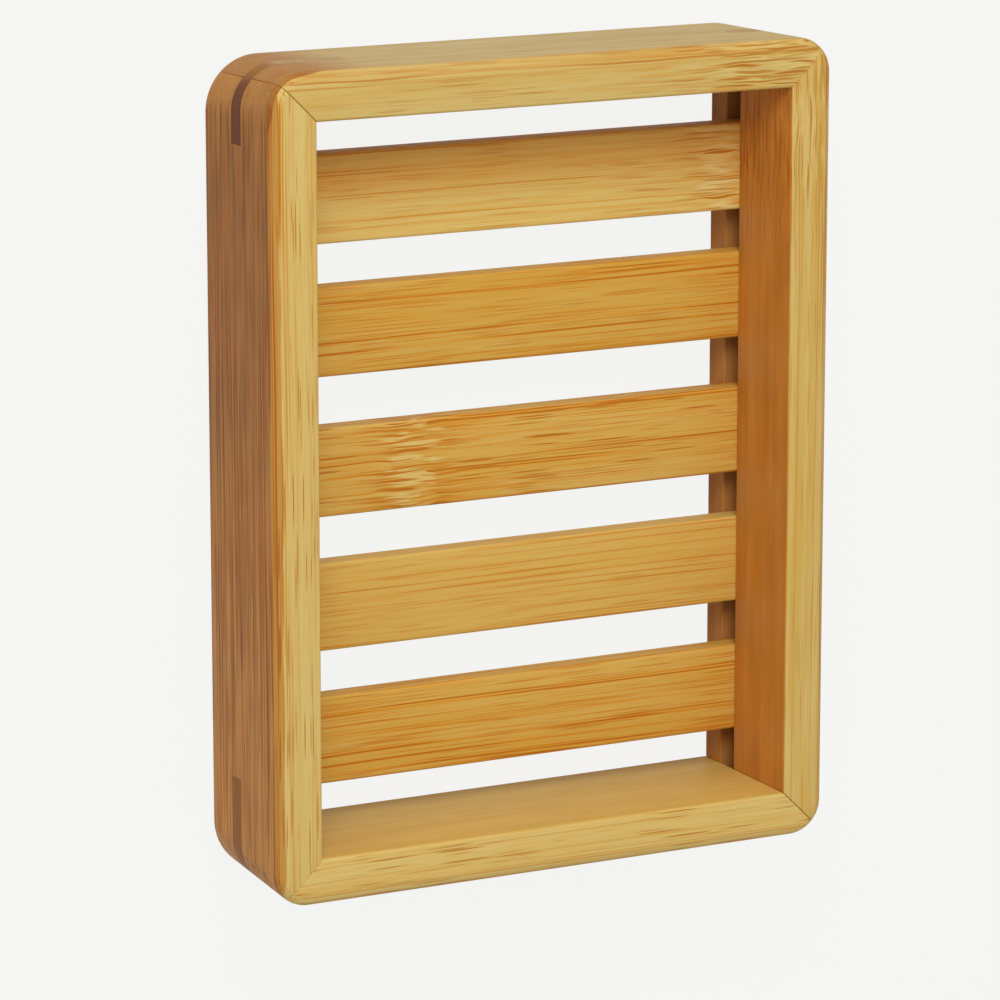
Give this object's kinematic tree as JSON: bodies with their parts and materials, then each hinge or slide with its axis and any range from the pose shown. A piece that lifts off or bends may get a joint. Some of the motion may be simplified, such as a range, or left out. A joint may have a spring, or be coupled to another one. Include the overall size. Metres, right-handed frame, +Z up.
{
  "type": "soap dish",
  "caption": "Flat bamboo soap dish: a mitred rectangular frame with keyed corners and spaced slats set low in it, so the bar sits in a shallow well and drains through the gaps.",
  "frame": {"origin": "middle of the dish's underside, on the surface that it rests on", "axes": "+X along the dish's length, +Y across its width, +Z up out of the well"},
  "size_m": [0.12, 0.09, 0.024],
  "materials": {
    "rail_bamboo": "satin oiled laminated bamboo",
    "slat_bamboo": "satin oiled bamboo strip",
    "key_bamboo": "satin oiled dark carbonised bamboo"
  },
  "bodies": {
    "root": {"front_long_rail": "rail_bamboo", "rear_long_rail": "rail_bamboo", "left_end_rail": "rail_bamboo", "right_end_rail": "rail_bamboo", "front_left_corner_key": "key_bamboo", "front_right_corner_key": "key_bamboo", "rear_right_corner_key": "key_bamboo", "rear_left_corner_key": "key_bamboo", "slat_1": "slat_bamboo", "slat_2": "slat_bamboo", "slat_3": "slat_bamboo", "slat_4": "slat_bamboo", "slat_5": "slat_bamboo"}
  },
  "joints": []
}
